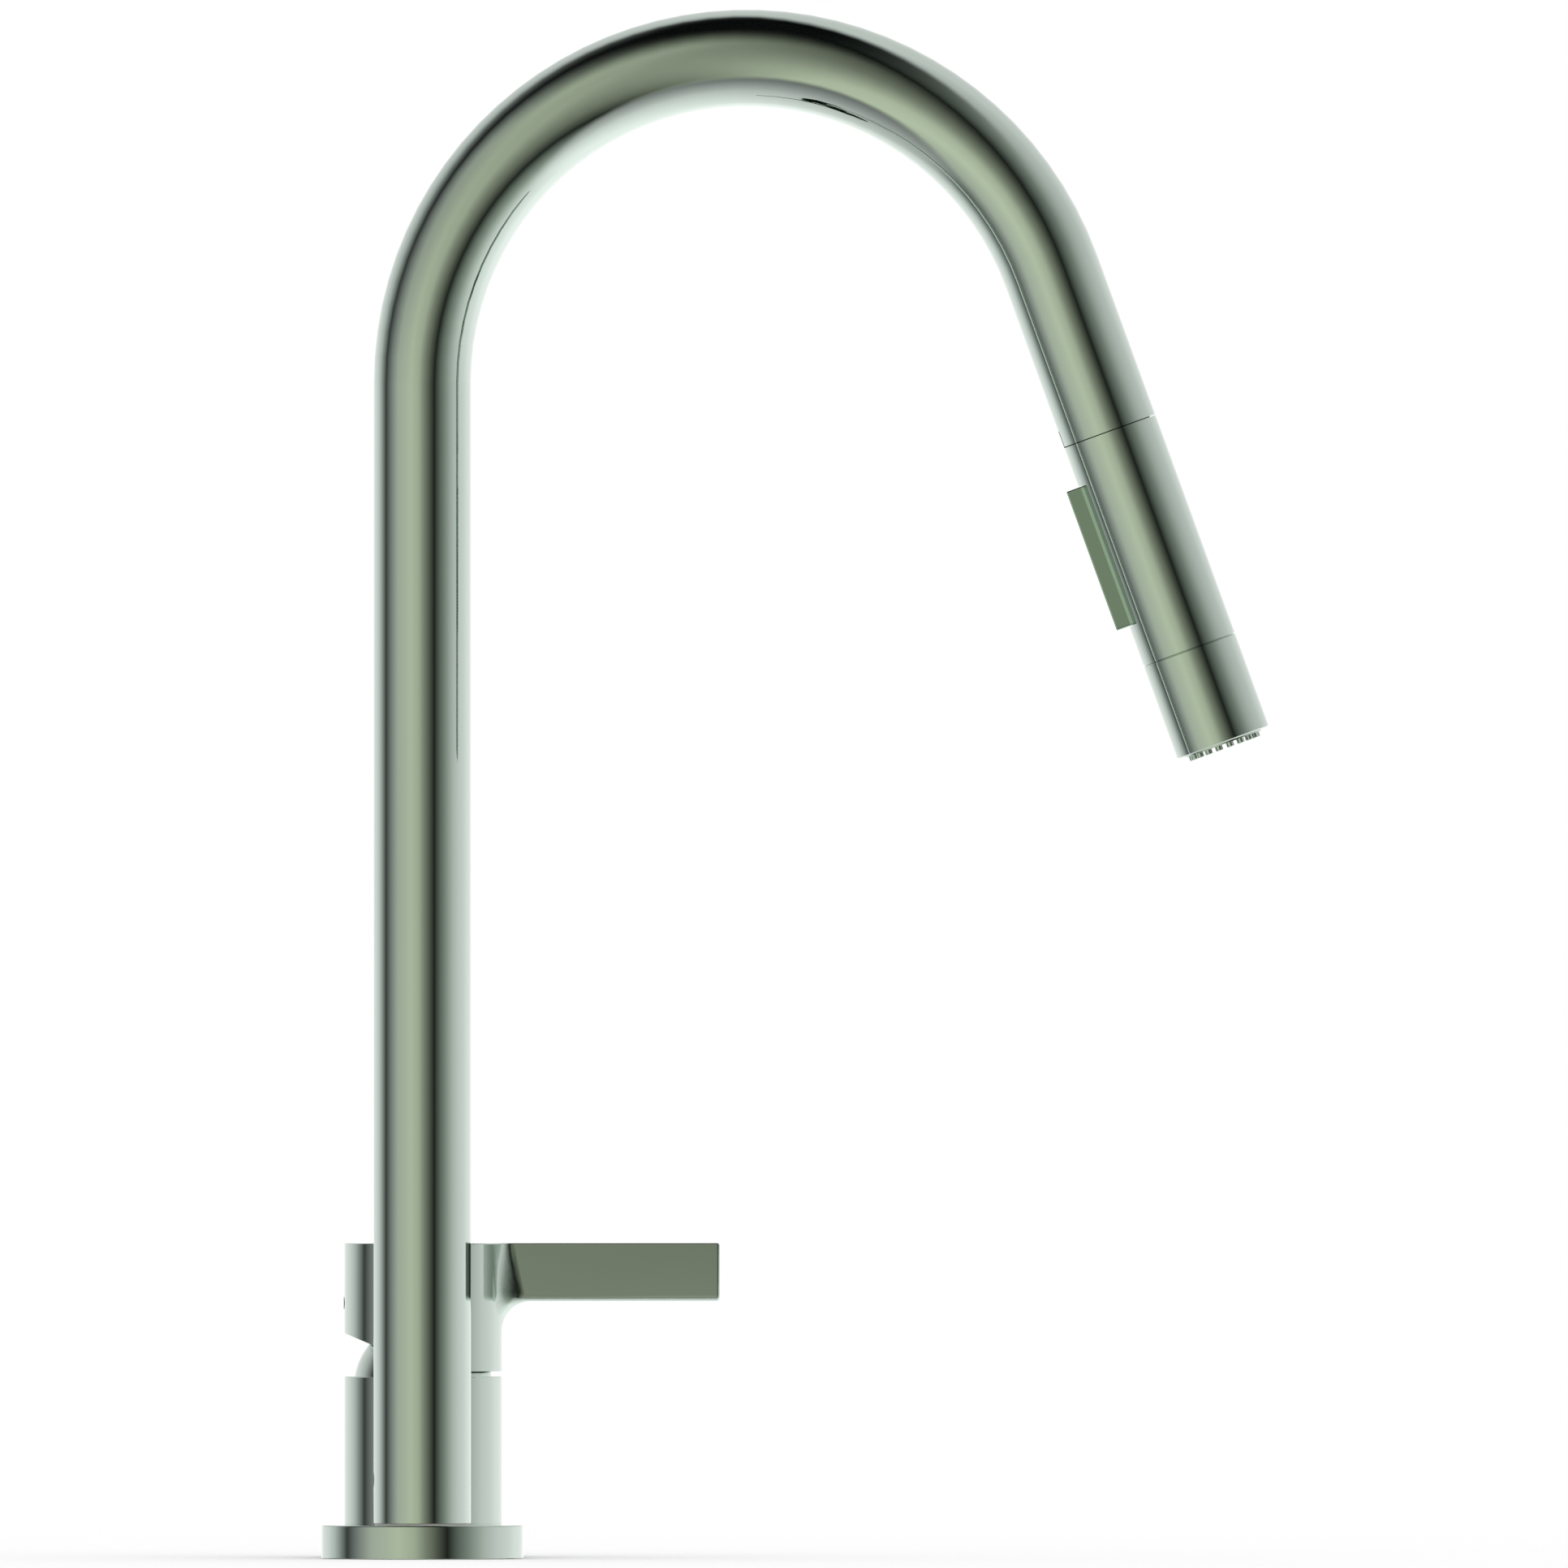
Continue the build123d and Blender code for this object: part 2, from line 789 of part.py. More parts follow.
def aerator_screen():
    """The round screen that shapes the stream."""
    low = screen_bottom()
    disc = rod(aerator_r - aerator_wall - fit_gap, low - screen_thick, low)
    holes = []
    for place in HexLocations(screen_pitch / 2, 5, 5, major_radius=False):
        if place.position.length < aerator_r - aerator_wall - 1.6:
            holes.append(place * rod(screen_hole_r, low - screen_thick - 1, low + 1))
    return disc - holes


def aerator_core():
    """The air mixer above the screen."""
    low = screen_bottom() - screen_thick
    outer = aerator_r - aerator_wall - fit_gap
    body = ring(outer, outer - 1.0, low - 9, low) + rod(outer - 0.5, low - 9, low - 7.5)
    holes = []
    for place in PolarLocations(3.4, 8):
        holes.append(place * rod(0.7, low - 10, low))
    return body - holes


# ---- Lever valve, modelled about its own axis ----


def port_places():
    """The places of the hot, cold and mixed water ports."""
    return ((inlet_x, -inlet_y), (inlet_x, inlet_y), (outlet_x, 0))


def valve_body():
    """The round brass body with its three ports and the cartridge's bore."""
    body = rod(body_r, deck_top, body_top)
    body = chamfer(body.faces().sort_by(Axis.Z)[-1].edges(), body_edge)
    body -= rod(body_bore_r, body_floor, body_top + 1)
    body -= rod(body_rim_r, body_top - body_rim_depth, body_top + 1)
    for x, y in port_places():
        body -= rod(port_thread_r, deck_top - 1, deck_top + port_depth, x, y)
        body -= rod(port_drill_r, deck_top, body_floor + 1, x, y)
    for side in (-1, 1):
        body -= rod(screw_r, deck_top - 1, screw_length + 1, screw_x, side * screw_y)
    return at_valve(body)


def cartridge_base():
    """The cartridge's foot with a seal groove round each port."""
    base = rod(cartridge_r, body_floor, disc_bottom)
    for x, y in port_places():
        base -= rod(port_drill_r, body_floor - 1, disc_bottom + 1, x, y)
        base -= ring(seal_ring_r + fit_gap, seal_bore() - fit_gap, body_floor - 1, seal_top(), x, y)
    return at_valve(base)


def seal_bore():
    """Inner radius of a port's seal ring."""
    return seal_ring_r - seal_ring_width


def seal_top():
    """Height of the seal rings' upper face."""
    return body_floor + seal_ring_height


def port_seals():
    """The three rubber rings under the cartridge."""
    seals = [ring(seal_ring_r, seal_bore(), body_floor, seal_top(), x, y) for x, y in port_places()]
    return at_valve(Part() + seals)


def fixed_disc():
    """The ceramic disc that stands still."""
    disc = rod(fixed_disc_r, disc_bottom, disc_face)
    for x, y in port_places():
        disc -= rod(port_drill_r, disc_bottom - 1, disc_face + 1, x, y)
    return at_valve(disc)


def moving_disc():
    """The ceramic disc that slides and turns, with its mixing chamber below."""
    disc = rod(moving_disc_r, disc_face, carrier_bottom)
    chamber = rod(disc_recess_r, disc_face - 1, disc_face + disc_recess_depth)
    chamber &= block(-disc_recess_back, disc_recess_front, -body_r, body_r, 0, body_top)
    return at_valve(Pos(-disc_travel / 2, 0, 0) * (disc - chamber))


def disc_carrier():
    """The plastic carrier on the moving disc, with the pocket for the stem's ball."""
    carrier = rod(carrier_r, carrier_bottom, tongue_bottom)
    tongue = rod(carrier_r, tongue_bottom - 0.5, tongue_bottom + tongue_thick)
    carrier += tongue & block(-body_r, body_r, -tongue_half, tongue_half, 0, body_top)
    pocket = rod(ball_r + 0.15, pivot_height - lift_arm - ball_r - 0.2, body_top, disc_travel / 2)
    return at_valve(Pos(-disc_travel / 2, 0, 0) * (carrier - pocket))


def cartridge_housing():
    """The cartridge's outer cup with the neck that guides the driver."""
    inner = cartridge_r - cartridge_wall
    bore = turret_r + turret_gap
    top = housing_shoulder + housing_neck
    housing = turned(
        (inner, disc_bottom),
        (cartridge_r, disc_bottom),
        (cartridge_r, housing_shoulder),
        (housing_neck_r, housing_shoulder),
        (housing_neck_r, top),
        (bore, top),
        (bore, housing_ceiling),
        (inner, housing_ceiling),
    )
    return at_valve(housing - stop_recess())


def cartridge_driver():
    """The turning part of the cartridge: flange, rails and slotted turret."""
    driver = rod(driver_flange_r, driver_bottom, driver_shoulder)
    driver += rod(turret_r, driver_shoulder - 1, driver_shoulder + turret_height)
    rail_top = driver_bottom + 0.5
    for side in (-1, 1):
        near = side * (tongue_half + 0.2)
        far = side * (tongue_half + 0.2 + rail_width)
        low = tongue_bottom + driver_gap
        half = rail_length / 2
        driver += block(-half, half, min(near, far), max(near, far), low, rail_top)
    driver += stop_tab(0, 0)
    driver -= stem_slot()
    bore = Pos(0, 0, pivot_height) * Rot(90, 0, 0) * Cylinder(pin_r, 2 * turret_r)
    return at_valve(driver - bore)


def stop_tab(extra, turn):
    """The tab on the turret that ends the swing in the housing's recess."""
    half = stop_tab_width / 2 + extra
    reach = stop_tab_reach + extra
    top = housing_shoulder + housing_neck
    low = top - stop_tab_depth - extra
    tab = block(turret_r - 1, reach, -half, half, low, top + extra) & rod(reach, low, top + extra)
    return Rot(0, 0, turn) * tab


def stop_recess():
    """The arc in the top of the housing's neck that the tab turns in."""
    top = housing_shoulder + housing_neck
    outer = stop_tab_reach + stop_tab_gap
    arc = rod(outer, top - stop_tab_depth - stop_tab_gap, top + 1)
    far = 2 * outer / cos(radians(swing_range))
    corners = [(0, 0)]
    for share in (-1, 0, 1):
        angle = radians(share * swing_range)
        corners.append((far * cos(angle), far * sin(angle)))
    fan = extrude(make_face(Polyline(*corners, close=True)), body_top + body_r)
    recess = arc & fan
    for side in (-1, 1):
        recess += stop_tab(stop_tab_gap, side * swing_range)
    return recess


def stem_slot():
    """The driver's slot, as wide as the stem's swing about the pivot needs."""
    lean = radians(lift_range)
    over = driver_shoulder + turret_height - pivot_height + 0.2
    under = pivot_height - driver_bottom + 0.2
    upper_reach = stem_block_x / cos(lean) + over * tan(lean) + 0.3
    middle_reach = stem_block_x / cos(lean) + 0.3
    block_low = stem_block_low()
    lower_reach = stem_block_x * cos(lean) + block_low * sin(lean) + 0.4
    ball_reach = disc_travel + ball_r + 0.35
    corner_reach = sqrt(stem_block_x ** 2 + block_low ** 2)
    outline = Polyline(
        (-upper_reach, over),
        (middle_reach, over),
        (middle_reach, 0),
        (lower_reach, -block_low / 2),
        (ball_reach, -lift_arm + ball_r),
        (ball_reach, -under),
        (-ball_r - 0.4, -under),
        (-ball_r - 0.4, -corner_reach - 0.1),
        (-stem_block_x - 0.3, -block_low - 0.5),
        (-middle_reach, 0),
        close=True,
    )
    width = stem_block_y + stem_side_gap
    face = Plane(origin=(0, 0, pivot_height), x_dir=(1, 0, 0), z_dir=(0, -1, 0)) * make_face(outline)
    return extrude(face, width, both=True)


def stem_block_low():
    """How far the stem's flat block reaches below the pivot."""
    return lift_arm * 0.4


def pivot_pin():
    """The pin across the driver that the stem tilts on."""
    pin = Cylinder(pin_r, 2 * pin_half_length)
    return at_valve(Pos(0, 0, pivot_height) * Rot(90, 0, 0) * pin)


def stem():
    """The lever's spindle: ball, arm, pivot block and square."""
    half = stem_square / 2
    low = pivot_height - stem_block_low()
    square_low = pivot_height + stem_square_start
    spindle = block(-stem_block_x, stem_block_x, -stem_block_y, stem_block_y, low, square_low)
    spindle += block(-half, half, -half, half, square_low, pivot_height + stem_length)
    spindle += rod(arm_r, pivot_height - lift_arm, low + 1)
    spindle += Pos(0, 0, pivot_height - lift_arm) * Sphere(ball_r)
    bore = Pos(0, 0, pivot_height) * Rot(90, 0, 0) * Cylinder(pin_r + fit_gap, 4 * stem_block_y)
    return at_valve(spindle - bore)


def cartridge_nut():
    """The slotted ring nut that holds the cartridge down."""
    top = housing_shoulder + nut_height
    nut = ring(body_bore_r - fit_gap, housing_neck_r + 0.2, housing_shoulder, top)
    for index in range(nut_slots):
        slot = block(0, body_r, -nut_slot_width / 2, nut_slot_width / 2, top - nut_slot_depth, top + 1)
        nut -= Rot(0, 0, 45 + 360 * index / nut_slots) * slot
    return at_valve(nut)


def dome_cover():
    """The round cover that closes the body under the lever's hood."""
    centre = Pos(0, 0, pivot_height)
    rim = sqrt(dome_r ** 2 - (body_top - pivot_height) ** 2)
    dome = centre * Sphere(dome_r) & rod(body_r, body_top, hood_top)
    dome += rod(rim, body_top - body_rim_depth, body_top)
    dome -= centre * Sphere(dome_r - dome_wall)
    return at_valve(dome - rod(dome_opening_r, body_floor, hood_top))


# ---- Lever handle ----


def lever_blade():
    """The blade, thicker at its top and at its root, with its own edges rounded."""
    slope = tan(radians(lever_taper))
    lean = lever_depth * tan(radians(lever_draft))
    low = hood_top - lever_depth
    sections = []
    for x in (0, lever_reach):
        wide = lever_half_width + slope * (body_r - x)
        narrow = wide - lean
        outline = Polyline((-wide, hood_top), (wide, hood_top), (narrow, low), (-narrow, low), close=True)
        sections.append(Plane(origin=(x, 0, 0), x_dir=(0, 1, 0), z_dir=(1, 0, 0)) * make_face(outline))
    blade = loft(sections, ruled=True)
    lower = blade.faces().sort_by(Axis.Z)[0]
    long_edges = [edge for edge in lower.edges() if edge.length > lever_reach / 2]
    blade = fillet(long_edges, lever_bottom_edge)
    tip = blade.faces().sort_by(Axis.X)[-1]
    return fillet(tip.edges(), lever_tip_edge)


def lever_handle():
    """Hood and blade in one piece, hollow over the dome and relieved at the back for the lift."""
    hood = rod(body_r, hood_bottom, hood_top)
    handle = hood + lever_blade()
    joint = [edge for edge in handle.edges() if on_hood_joint(edge)]
    handle = fillet(joint, lever_fillet)
    top = handle.faces().sort_by(Axis.Z)[-1]
    handle = fillet(top.edges(), hood_edge)
    handle -= Pos(0, 0, pivot_height) * Sphere(dome_r + hood_cavity_gap)
    handle -= relief_wedge()
    half = stem_square / 2 + fit_gap
    socket_top = pivot_height + stem_length + 0.2
    handle -= block(-half, half, -half, half, pivot_height, socket_top)
    handle -= cross_rod(grub_r + grub_clear, -body_r - 1, -half + 1, grub_height)
    return at_valve(handle)


def on_hood_joint(edge):
    """Whether an edge lies where the blade leaves the round hood."""
    middle = edge @ 0.5
    radius = sqrt(middle.X ** 2 + middle.Y ** 2)
    inside = hood_top - lever_depth - 1 < middle.Z < hood_top - 0.5
    return abs(radius - body_r) < 0.01 and middle.X > 0 and inside


def relief_wedge():
    """What the hood's lower back edge loses so that the lever can lift."""
    rise = (relief_start + 2 * body_r) * tan(radians(relief_angle))
    outline = Polyline(
        (relief_start, hood_bottom),
        (-2 * body_r, hood_bottom + rise),
        (-2 * body_r, hood_bottom - 1),
        (relief_start, hood_bottom - 1),
        close=True,
    )
    return extrude(Plane.XZ * make_face(outline), 2 * body_r, both=True)


def grub_screw():
    """The screw that clamps the hood on the stem."""
    end = -stem_square / 2
    screw = cross_rod(grub_r, end - grub_length, end, grub_height)
    hexagon = extrude(RegularPolygon(grub_hex / 2, 6, major_radius=False), 2)
    socket = Pos(end - grub_length - 0.01, 0, grub_height) * Rot(0, 90, 0) * hexagon
    return at_valve(screw - socket)


def screw_plug():
    """The small plug that covers the grub screw."""
    outer = -body_r - plug_bulge
    plug = cross_rod(plug_r, outer, outer + plug_length, grub_height)
    return at_valve(fillet(plug.faces().sort_by(Axis.X)[0].edges(), 0.3))


fixed_and_spout = {
    "base_plate": base_plate,
    "base_gasket": lambda: gasket_loop(gasket_side_gap),
    "body_screws": body_screws,
    "spout_socket": spout_socket,
    "slide_washer": slide_washer,
    "swivel_bushes": swivel_bushes,
    "swivel_o_ring": swivel_o_ring,
    "hose_guide": hose_guide,
    "spout_tube": spout_tube,
    "swivel_sleeve": swivel_sleeve,
    "stop_screw": stop_screw,
    "valve_body": valve_body,
    "cartridge_base": cartridge_base,
    "port_seals": port_seals,
    "fixed_disc": fixed_disc,
    "moving_disc": moving_disc,
    "disc_carrier": disc_carrier,
    "cartridge_housing": cartridge_housing,
    "cartridge_driver": cartridge_driver,
    "pivot_pin": pivot_pin,
    "stem": stem,
    "cartridge_nut": cartridge_nut,
    "dome_cover": dome_cover,
    "lever_handle": lever_handle,
    "grub_screw": grub_screw,
    "screw_plug": screw_plug,
    "spray_hose": spray_hose,
}

along_leg = {
    "dock_sleeve": dock_sleeve,
    "head_neck": head_neck,
    "hose_lead": hose_lead,
    "hose_ferrule": hose_ferrule,
    "hose_fitting": hose_fitting,
    "hose_seal": hose_seal,
    "check_valve": check_valve,
    "head_shell": head_shell,
    "button_frame": button_frame,
    "waterway_core": waterway_core,
    "core_o_ring": core_o_ring,
    "diverter_piston": diverter_piston,
    "diverter_o_rings": diverter_o_rings,
    "mode_button": mode_button,
    "button_spring": button_spring,
    "nozzle_collar": nozzle_collar,
    "spray_plate": spray_plate,
    "nozzle_mat": nozzle_mat,
    "aerator_housing": aerator_housing,
    "aerator_screen": aerator_screen,
    "aerator_core": aerator_core,
}

os.makedirs("parts", exist_ok=True)
for name, make in fixed_and_spout.items():
    export_step(make(), f"parts/{name}.step")
for name, make in along_leg.items():
    export_step(leg.location * make(), f"parts/{name}.step")
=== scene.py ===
import json
import math
import bpy
from mathutils import Matrix, Vector
from mathutils.kdtree import KDTree


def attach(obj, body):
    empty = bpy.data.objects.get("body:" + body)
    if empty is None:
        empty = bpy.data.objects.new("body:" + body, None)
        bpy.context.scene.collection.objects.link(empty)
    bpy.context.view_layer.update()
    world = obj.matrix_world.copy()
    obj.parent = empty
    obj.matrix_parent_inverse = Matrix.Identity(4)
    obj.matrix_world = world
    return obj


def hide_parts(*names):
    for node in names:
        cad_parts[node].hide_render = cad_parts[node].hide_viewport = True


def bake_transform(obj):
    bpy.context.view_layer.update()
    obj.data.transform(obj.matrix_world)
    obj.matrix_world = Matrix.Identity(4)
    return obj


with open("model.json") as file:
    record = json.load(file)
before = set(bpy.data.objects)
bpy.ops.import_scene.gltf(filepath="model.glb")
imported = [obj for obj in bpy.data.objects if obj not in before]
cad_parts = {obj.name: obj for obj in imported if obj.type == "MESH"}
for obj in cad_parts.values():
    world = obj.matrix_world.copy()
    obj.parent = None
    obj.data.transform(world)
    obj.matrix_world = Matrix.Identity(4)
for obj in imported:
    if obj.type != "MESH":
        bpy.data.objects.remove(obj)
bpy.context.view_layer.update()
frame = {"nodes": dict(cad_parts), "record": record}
nodes = frame["nodes"]
print("frame loaded:", len(nodes), "nodes")

# a long lens, level with the middle of the faucet and square to its side
camera = {
    "centreX": 0.1040,
    "centreZ": 0.2225,
    "distance": 20.0,
    "frameWidth": 0.4508,  # what the picture spans at the faucet
    "sensor": 36.0,
    "clipEnd": 100.0,
}
lens = bpy.data.cameras.new("sideCamera")
lens.type = "PERSP"
lens.sensor_width = camera["sensor"]
lens.lens = camera["sensor"] * camera["distance"] / camera["frameWidth"]
lens.clip_end = camera["clipEnd"]
sideCamera = bpy.data.objects.new("sideCamera", lens)
bpy.context.scene.collection.objects.link(sideCamera)
sideCamera.location = (camera["centreX"], -camera["distance"], camera["centreZ"])
sideCamera.rotation_euler = (math.radians(90), 0, 0)
bpy.context.scene.camera = sideCamera
bpy.context.scene.view_settings.view_transform = "Standard"
print("camera set")


def mathNode(tree, operation, first, second=None, third=None):
    node = tree.nodes.new("ShaderNodeMath")
    node.operation = operation
    for slot, value in enumerate((first, second, third)):
        if value is None:
            continue
        if isinstance(value, (int, float)):
            node.inputs[slot].default_value = value
        else:
            tree.links.new(value, node.inputs[slot])
    return node.outputs[0]


def fade(tree, value, low, high, start=0.0, end=1.0):
    # a soft step from start to end while the value goes from low to high
    node = tree.nodes.new("ShaderNodeMapRange")
    node.interpolation_type = "SMOOTHSTEP"
    for name, number in (("From Min", low), ("From Max", high), ("To Min", start), ("To Max", end)):
        node.inputs[name].default_value = number
    tree.links.new(value, node.inputs["Value"])
    return node.outputs["Result"]


def ramp(tree, value, stops):
    # colours at places from 0 to 1, each blending straight into the next
    node = tree.nodes.new("ShaderNodeValToRGB")
    band = node.color_ramp.elements
    while len(band) < len(stops):
        band.new(0.5)
    for element, (place, colour) in zip(band, stops):
        element.position = place
        element.color = (*colour, 1.0)
    tree.links.new(value, node.inputs["Fac"])
    return node.outputs["Color"]


# where a Mix node keeps its two colours, and where it gives the result
mixSockets = {"first": 6, "second": 7, "result": 2}


def mixColours(tree, share, first, second):
    node = tree.nodes.new("ShaderNodeMix")
    node.data_type = "RGBA"
    tree.links.new(share, node.inputs["Factor"])
    for slot, value in ((mixSockets["first"], first), (mixSockets["second"], second)):
        if isinstance(value, tuple):
            node.inputs[slot].default_value = (*value, 1.0)
        else:
            tree.links.new(value, node.inputs[slot])
    return node.outputs[mixSockets["result"]]


# The studio that the metal reflects. Its cards stand round the faucet, each given as degrees from
# the lens (plus is the spray head's side), brightness and tint. Heights run from -1, straight
# down, to 1, straight up, and depths from -1, toward the lens, to 1, toward the backdrop.
neutral = (1.0, 1.0, 1.0)
warm = (0.98, 1.03, 0.81)
cool = (0.97, 1.0, 1.0)
leafy = (1.0, 1.15, 0.98)
studio = {
    "cards": {
        "backdropLeft": (-175, 1.12, neutral),
        "backdropLeftEdge": (-148, 1.04, neutral),
        "backdropLeftFold": (-137, 1.02, neutral),
        "leftFlatFar": (-121, 0.79, cool),
        "leftFlatNear": (-105, 0.31, cool),
        "leftSeam": (-96, 0.060, leafy),
        "leftCardEdge": (-82, 0.28, cool),
        "leftCard": (-60, 0.63, (1.0, 1.04, 0.91)),
        "frontCard": (-27, 0.78, warm),
        "frontCardEdge": (-9, 0.65, warm),
        "lensSide": (2, 0.39, warm),
        "lensFold": (6, 0.31, warm),
        "rightFold": (19, 0.115, (1.0, 1.06, 0.84)),
        "rightSeam": (29, 0.018, leafy),
        "rightCardEdge": (35, 0.085, leafy),
        "rightCard": (55, 0.33, (1.0, 1.10, 0.97)),
        "rightFlat": (78, 0.73, (1.0, 1.02, 0.98)),
        "rightFlatFar": (96, 0.93, neutral),
        "backdropRightEdge": (117, 1.05, neutral),
        "backdropRight": (132, 1.17, neutral),
        "backdropMiddle": (175, 1.12, neutral),
    },
    "wallHeights": (-0.53, 0.50),
    "wallLevels": (1.24, 0.78),  # how bright the walls are below and above these heights
    "leftLowShade": 0.5,
    "header": {
        "side": (-0.45, -0.20),
        "back": (0.25, 0.75),
        "front": (-0.10, 0.15),
        "heights": (0.30, 0.70),
        "shade": 0.60,
    },
    "ceiling": {
        "heights": (0.55, 0.98),
        "edge": 0.50,
        "soft": 0.17,
        "colour": (0.004, 0.005, 0.005),
    },
    "floorDrops": (0.64, 0.78),  # how far down the walls end and the floor begins
    "floorLean": 0.55,
    "floorRows": {
        "underLens": (-1.0, 0.38, warm),
        "nearFloor": (-0.80, 0.46, warm),
        "floorSeam": (-0.60, 0.30, neutral),
        "floorMiddle": (-0.34, 0.56, neutral),
        "floorUnder": (-0.08, 0.84, neutral),
        "floorBack": (0.20, 1.02, neutral),
        "farFloor": (0.60, 1.22, neutral),
    },
}


def lit(level, tint):
    return tuple(level * part for part in tint)


world = bpy.data.worlds.new("studio")
bpy.context.scene.world = world
world.use_nodes = True
sky = world.node_tree
sky.nodes.clear()
skyPlace = sky.nodes.new("ShaderNodeTexCoord")
split = sky.nodes.new("ShaderNodeSeparateXYZ")
sky.links.new(skyPlace.outputs["Generated"], split.inputs[0])
rightward, backward, upward = split.outputs
downward = mathNode(sky, "MULTIPLY", upward, -1.0)
towardLens = mathNode(sky, "MULTIPLY", backward, -1.0)
turn = mathNode(sky, "ARCTAN2", rightward, towardLens)
turnShare = mathNode(sky, "MULTIPLY_ADD", turn, 0.5 / math.pi, 0.5)  # a full turn becomes 0 to 1
cards = [
    (degrees / 360 + 0.5, lit(level, tint))
    for degrees, level, tint in studio["cards"].values()
]
wallColours = ramp(sky, turnShare, cards)

# the walls are brighter low down and dimmer high up, and the left ones are shaded near the floor
wallLevel = fade(sky, upward, *studio["wallHeights"], *studio["wallLevels"])
leftOnly = mathNode(sky, "MINIMUM", rightward, 0.0)
leftLow = mathNode(sky, "MULTIPLY", leftOnly, mathNode(sky, "MAXIMUM", downward, 0.0))
leftShade = mathNode(sky, "MULTIPLY_ADD", leftLow, studio["leftLowShade"], 1.0)
wallLevel = mathNode(sky, "MULTIPLY", wallLevel, leftShade)


def dimmed(colours, level):
    node = sky.nodes.new("ShaderNodeVectorMath")
    node.operation = "SCALE"
    sky.links.new(colours, node.inputs[0])
    sky.links.new(level, node.inputs["Scale"])
    return node.outputs[0]


# the pale floor, lighter away from the lens and on the spray head's side
floorRows = [
    (depth / 2 + 0.5, lit(level, tint))
    for depth, level, tint in studio["floorRows"].values()
]
floorColours = ramp(sky, mathNode(sky, "MULTIPLY_ADD", backward, 0.5, 0.5), floorRows)
floorLevel = mathNode(sky, "MULTIPLY_ADD", rightward, studio["floorLean"], 1.0)
onFloor = fade(sky, downward, *studio["floorDrops"])
room = mixColours(sky, onFloor, dimmed(wallColours, wallLevel), dimmed(floorColours, floorLevel))

# a header hangs over the left flat
header = studio["header"]
headerShade = fade(sky, upward, *header["heights"], 0.0, header["shade"])
for reach in (
    fade(sky, rightward, *header["side"], 1.0, 0.0),
    fade(sky, backward, *header["back"], 1.0, 0.0),
    fade(sky, backward, *header["front"]),
):
    headerShade = mathNode(sky, "MULTIPLY", headerShade, reach)
room = dimmed(room, mathNode(sky, "SUBTRACT", 1.0, headerShade))

# the dark ceiling over the lens ends behind the faucet, nearer on the spray head's side
ceiling = studio["ceiling"]
rightOnly = mathNode(sky, "MAXIMUM", rightward, 0.0)
ceilingEdge = mathNode(sky, "SUBTRACT", ceiling["edge"], rightOnly)
pastEdge = mathNode(sky, "SUBTRACT", backward, ceilingEdge)
overLens = fade(sky, pastEdge, -ceiling["soft"], ceiling["soft"], 1.0, 0.0)
highUp = fade(sky, upward, *ceiling["heights"])
room = mixColours(sky, mathNode(sky, "MULTIPLY", overLens, highUp), room, ceiling["colour"])

# only what the metal mirrors is the studio: the lens and the floor see plain white
rays = sky.nodes.new("ShaderNodeLightPath")
studioSeen = sky.nodes.new("ShaderNodeBackground")
sky.links.new(room, studioSeen.inputs["Color"])
plainWhite = sky.nodes.new("ShaderNodeBackground")
plainWhite.inputs["Color"].default_value = (1.0, 1.0, 1.0, 1.0)
pick = sky.nodes.new("ShaderNodeMixShader")
sky.links.new(rays.outputs["Is Glossy Ray"], pick.inputs["Fac"])
sky.links.new(plainWhite.outputs[0], pick.inputs[1])
sky.links.new(studioSeen.outputs[0], pick.inputs[2])
skyOutput = sky.nodes.new("ShaderNodeOutputWorld")
sky.links.new(pick.outputs[0], skyOutput.inputs["Surface"])
print("studio ready")


def newMaterial(name, **values):
    material = bpy.data.materials.new(name)
    material.use_nodes = True
    shader = material.node_tree.nodes["Principled BSDF"]
    for key, value in values.items():
        shader.inputs[key.replace("_", " ")].default_value = value
    return material, material.node_tree, shader


def grainPlace(tree, stretch=(1, 1, 1), turned=(0, 0, 0)):
    # Object coordinates, turned and stretched for a pattern
    place = tree.nodes.new("ShaderNodeTexCoord")
    mapping = tree.nodes.new("ShaderNodeMapping")
    mapping.vector_type = "TEXTURE"
    mapping.inputs["Rotation"].default_value = turned
    mapping.inputs["Scale"].default_value = tuple(1 / size for size in stretch)
    tree.links.new(place.outputs["Object"], mapping.inputs["Vector"])
    return mapping.outputs[0]


def noise(tree, scale, detail=4.0, place=None):
    texture = tree.nodes.new("ShaderNodeTexNoise")
    texture.inputs["Scale"].default_value = scale
    texture.inputs["Detail"].default_value = detail
    tree.links.new(place or grainPlace(tree), texture.inputs["Vector"])
    return texture.outputs["Fac"]


def bump(tree, shader, height, strength, distance):
    node = tree.nodes.new("ShaderNodeBump")
    node.inputs["Strength"].default_value = strength
    node.inputs["Distance"].default_value = distance
    tree.links.new(height, node.inputs["Height"])
    tree.links.new(node.outputs["Normal"], shader.inputs["Normal"])


def shaded(colour, share):
    return tuple(share * part for part in colour)


# the line of the spout's tube: up the column, over the arch and down the tilted leg
spoutLine = {
    "archRadius": 0.0933,
    "archStart": 0.3379,  # how high the column goes
    "tilt": math.radians(20),
}
legTilt = spoutLine["tilt"]
legDown = Vector((math.sin(legTilt), 0, -math.cos(legTilt)))
legTop = Vector((
    spoutLine["archRadius"] * (1 + math.cos(legTilt)),
    0,
    spoutLine["archStart"] + spoutLine["archRadius"] * math.sin(legTilt),
))

